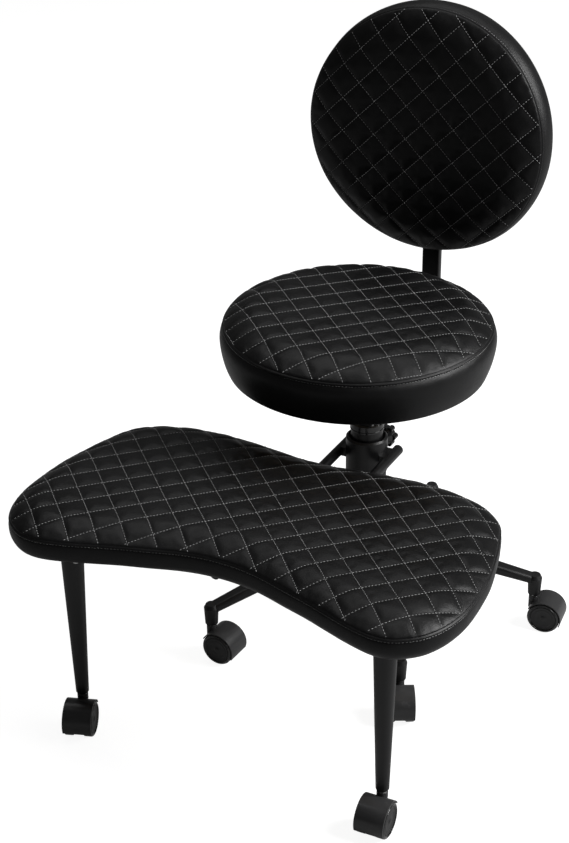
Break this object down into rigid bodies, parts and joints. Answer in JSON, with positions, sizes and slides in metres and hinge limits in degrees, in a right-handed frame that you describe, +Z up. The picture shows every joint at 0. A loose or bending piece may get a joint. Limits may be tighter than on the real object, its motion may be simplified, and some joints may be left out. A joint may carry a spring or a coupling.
{
  "type": "cross-legged office chair",
  "caption": "Cross-legged office chair: round quilted seat and back on a gas lift and star base, with a quilted kidney-shaped leg rest on two tapered legs that swivels round the column.",
  "frame": {"origin": "on the floor, on the axis of the column that the seat and the leg rest turn round", "axes": "+Z up along the column, -Y the way the chair faces, towards the leg rest; +X to the sitter's left"},
  "size_m": [0.6832, 0.8595, 0.945],
  "materials": {
    "leather": "black synthetic leather, fine grain, semi-matt, light grey quilting thread",
    "board": "plywood, hidden under the cushions",
    "coated_steel": "satin black powder coat",
    "gloss_steel": "gloss black",
    "bright_steel": "bright zinc or chrome plate",
    "black_plastic": "matt black nylon",
    "bush_plastic": "gloss black acetal",
    "wheel_plastic": "black nylon, gloss rim"
  },
  "bodies": {
    "base": {"star_base": "coated_steel", "column_tube": "coated_steel", "column_bush": "bush_plastic", "support_ring": "coated_steel", "caster_stems": "bright_steel"},
    "gas_rod": {"gas_rod": "bright_steel"},
    "seat": {"pressure_tube": "gloss_steel", "seat_mechanism": "coated_steel", "seat_board": "board", "seat_cushion": "leather", "seat_screws": "bright_steel", "back_bar": "coated_steel", "back_plate": "coated_steel", "back_board": "board", "back_cushion": "leather", "back_panel": "leather"},
    "lever": {"lever_rod": "bright_steel", "lever_grip": "black_plastic"},
    "leg_rest": {"swivel_collar": "coated_steel", "collar_liner": "bush_plastic", "rest_tubes": "coated_steel", "tube_caps": "black_plastic", "rest_plates": "coated_steel", "rest_screws": "bright_steel", "rest_board": "board", "rest_cushion": "leather", "leg_left": "coated_steel", "leg_right": "coated_steel", "leg_flanges": "coated_steel", "leg_stems": "bright_steel"},
    "clamp": {"clamp_stud": "bright_steel", "clamp_knob": "black_plastic"},
    "caster_1": {"hood_1": "black_plastic", "axle_1": "bright_steel"},
    "wheel_1a": {"wheel_1a": "wheel_plastic"},
    "wheel_1b": {"wheel_1b": "wheel_plastic"},
    "caster_2": {"hood_2": "black_plastic", "axle_2": "bright_steel"},
    "wheel_2a": {"wheel_2a": "wheel_plastic"},
    "wheel_2b": {"wheel_2b": "wheel_plastic"},
    "caster_3": {"hood_3": "black_plastic", "axle_3": "bright_steel"},
    "wheel_3a": {"wheel_3a": "wheel_plastic"},
    "wheel_3b": {"wheel_3b": "wheel_plastic"},
    "caster_4": {"hood_4": "black_plastic", "axle_4": "bright_steel"},
    "wheel_4a": {"wheel_4a": "wheel_plastic"},
    "wheel_4b": {"wheel_4b": "wheel_plastic"},
    "caster_5": {"hood_5": "black_plastic", "axle_5": "bright_steel"},
    "wheel_5a": {"wheel_5a": "wheel_plastic"},
    "wheel_5b": {"wheel_5b": "wheel_plastic"},
    "caster_6": {"hood_6": "black_plastic", "axle_6": "bright_steel"},
    "wheel_6a": {"wheel_6a": "wheel_plastic"},
    "wheel_6b": {"wheel_6b": "wheel_plastic"},
    "caster_7": {"hood_7": "black_plastic", "axle_7": "bright_steel"},
    "wheel_7a": {"wheel_7a": "wheel_plastic"},
    "wheel_7b": {"wheel_7b": "wheel_plastic"}
  },
  "joints": [
    {"name": "seat_swivel", "type": "hinge", "parent": "base", "child": "gas_rod", "pos_m": [0, 0, 0.2], "axis": [0, 0, 1], "continuous": true},
    {"name": "seat_lift", "type": "slide", "parent": "gas_rod", "child": "seat", "axis": [0, 0, 1], "range_m": [-0.06, 0]},
    {"name": "lift_lever", "type": "hinge", "parent": "seat", "child": "lever", "pos_m": [-0.035, 0, 0.4405], "axis": [0, 1, 0], "range_deg": [0, 6], "stiffness_Nm_per_rad": 2, "springref_deg": -6.88},
    {"name": "leg_rest_swivel", "type": "hinge", "parent": "base", "child": "leg_rest", "pos_m": [0, 0, 0.2645], "axis": [0, 0, 1], "continuous": true},
    {"name": "clamp_screw", "type": "hinge", "parent": "leg_rest", "child": "clamp", "pos_m": [0, 0.0575, 0.2895], "axis": [0, 1, 0], "range_deg": [0, 360]},
    {"name": "caster_swivel_1", "type": "hinge", "parent": "base", "child": "caster_1", "pos_m": [-0.15988, -0.22005, 0.05], "axis": [0, 0, 1], "continuous": true},
    {"name": "wheel_spin_1a", "type": "hinge", "parent": "caster_1", "child": "wheel_1a", "pos_m": [-0.13841, -0.22118, 0.0262], "axis": [0.0523, 0.9986, 0], "continuous": true},
    {"name": "wheel_spin_1b", "type": "hinge", "parent": "caster_1", "child": "wheel_1b", "pos_m": [-0.13841, -0.22118, 0.0262], "axis": [0.0523, 0.9986, 0], "continuous": true},
    {"name": "caster_swivel_2", "type": "hinge", "parent": "base", "child": "caster_2", "pos_m": [0.15988, -0.22005, 0.05], "axis": [0, 0, 1], "continuous": true},
    {"name": "wheel_spin_2a", "type": "hinge", "parent": "caster_2", "child": "wheel_2a", "pos_m": [0.16997, -0.23904, 0.0262], "axis": [0.8829, 0.4695, 0], "continuous": true},
    {"name": "wheel_spin_2b", "type": "hinge", "parent": "caster_2", "child": "wheel_2b", "pos_m": [0.16997, -0.23904, 0.0262], "axis": [0.8829, 0.4695, 0], "continuous": true},
    {"name": "caster_swivel_3", "type": "hinge", "parent": "base", "child": "caster_3", "pos_m": [0.25869, 0.08405, 0.05], "axis": [0, 0, 1], "continuous": true},
    {"name": "wheel_spin_3a", "type": "hinge", "parent": "caster_3", "child": "wheel_3a", "pos_m": [0.28007, 0.0863, 0.0262], "axis": [-0.1045, 0.9945, 0], "continuous": true},
    {"name": "wheel_spin_3b", "type": "hinge", "parent": "caster_3", "child": "wheel_3b", "pos_m": [0.28007, 0.0863, 0.0262], "axis": [-0.1045, 0.9945, 0], "continuous": true},
    {"name": "caster_swivel_4", "type": "hinge", "parent": "base", "child": "caster_4", "pos_m": [0, 0.272, 0.05], "axis": [0, 0, 1], "continuous": true},
    {"name": "wheel_spin_4a", "type": "hinge", "parent": "caster_4", "child": "wheel_4a", "pos_m": [0.01075, 0.29062, 0.0262], "axis": [-0.866, 0.5, 0], "continuous": true},
    {"name": "wheel_spin_4b", "type": "hinge", "parent": "caster_4", "child": "wheel_4b", "pos_m": [0.01075, 0.29062, 0.0262], "axis": [-0.866, 0.5, 0], "continuous": true},
    {"name": "caster_swivel_5", "type": "hinge", "parent": "base", "child": "caster_5", "pos_m": [-0.25869, 0.08405, 0.05], "axis": [0, 0, 1], "continuous": true},
    {"name": "wheel_spin_5a", "type": "hinge", "parent": "caster_5", "child": "wheel_5a", "pos_m": [-0.27731, 0.0948, 0.0262], "axis": [-0.5, -0.866, 0], "continuous": true},
    {"name": "wheel_spin_5b", "type": "hinge", "parent": "caster_5", "child": "wheel_5b", "pos_m": [-0.27731, 0.0948, 0.0262], "axis": [-0.5, -0.866, 0], "continuous": true},
    {"name": "caster_swivel_6", "type": "hinge", "parent": "leg_rest", "child": "caster_6", "pos_m": [-0.2425, -0.46, 0.05], "axis": [0, 0, 1], "continuous": true},
    {"name": "wheel_spin_6a", "type": "hinge", "parent": "caster_6", "child": "wheel_6a", "pos_m": [-0.23515, -0.4802, 0.0262], "axis": [0.9397, 0.342, 0], "continuous": true},
    {"name": "wheel_spin_6b", "type": "hinge", "parent": "caster_6", "child": "wheel_6b", "pos_m": [-0.23515, -0.4802, 0.0262], "axis": [0.9397, 0.342, 0], "continuous": true},
    {"name": "caster_swivel_7", "type": "hinge", "parent": "leg_rest", "child": "caster_7", "pos_m": [0.2425, -0.46, 0.05], "axis": [0, 0, 1], "continuous": true},
    {"name": "wheel_spin_7a", "type": "hinge", "parent": "caster_7", "child": "wheel_7a", "pos_m": [0.24325, -0.48149, 0.0262], "axis": [0.9994, 0.0349, 0], "continuous": true},
    {"name": "wheel_spin_7b", "type": "hinge", "parent": "caster_7", "child": "wheel_7b", "pos_m": [0.24325, -0.48149, 0.0262], "axis": [0.9994, 0.0349, 0], "continuous": true}
  ]
}
